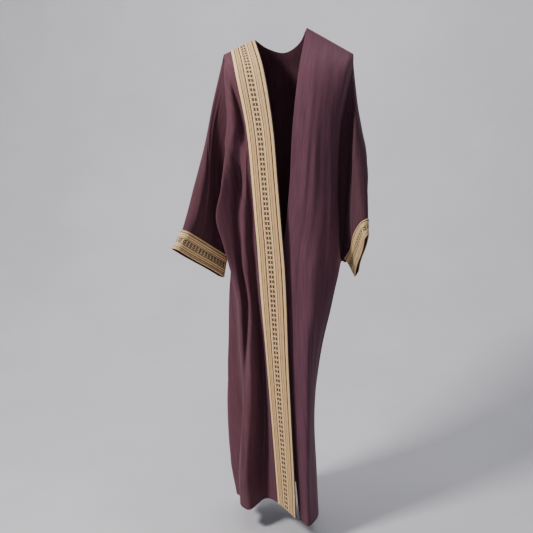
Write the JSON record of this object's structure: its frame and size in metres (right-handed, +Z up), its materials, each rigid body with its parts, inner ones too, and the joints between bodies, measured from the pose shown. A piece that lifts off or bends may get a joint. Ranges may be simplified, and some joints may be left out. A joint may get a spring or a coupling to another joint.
{
  "type": "open-front abaya",
  "caption": "Long open-front abaya in plum crepe, hanging as worn, with a gold woven band down one front edge and round both wide cuffs.",
  "frame": {"origin": "midway between the shoulders, level with the left shoulder's neck point", "axes": "+X to the wearer's left, the front faces -Y, +Z up"},
  "size_m": [0.5527, 0.292, 1.39],
  "materials": {
    "cloth_back": "plum crepe, matt, fine vertical slubs",
    "cloth_front_right": "plum crepe, matt, fine vertical slubs",
    "cloth_front_left": "plum crepe, matt, fine vertical slubs",
    "cloth_sleeve_right": "plum crepe, matt, fine vertical slubs",
    "cloth_sleeve_left": "plum crepe, matt, fine vertical slubs",
    "braid_front": "pale gold woven band with cords and small brown crosses",
    "braid_cuff_right": "pale gold woven band with cords and small brown crosses",
    "braid_cuff_left": "pale gold woven band with cords and small brown crosses"
  },
  "bodies": {
    "root": {"back": "cloth_back", "front_right": "cloth_front_right", "front_left": "cloth_front_left", "sleeve_right": "cloth_sleeve_right", "sleeve_left": "cloth_sleeve_left", "braid_front": "braid_front", "braid_cuff_right": "braid_cuff_right", "braid_cuff_left": "braid_cuff_left"}
  },
  "joints": []
}
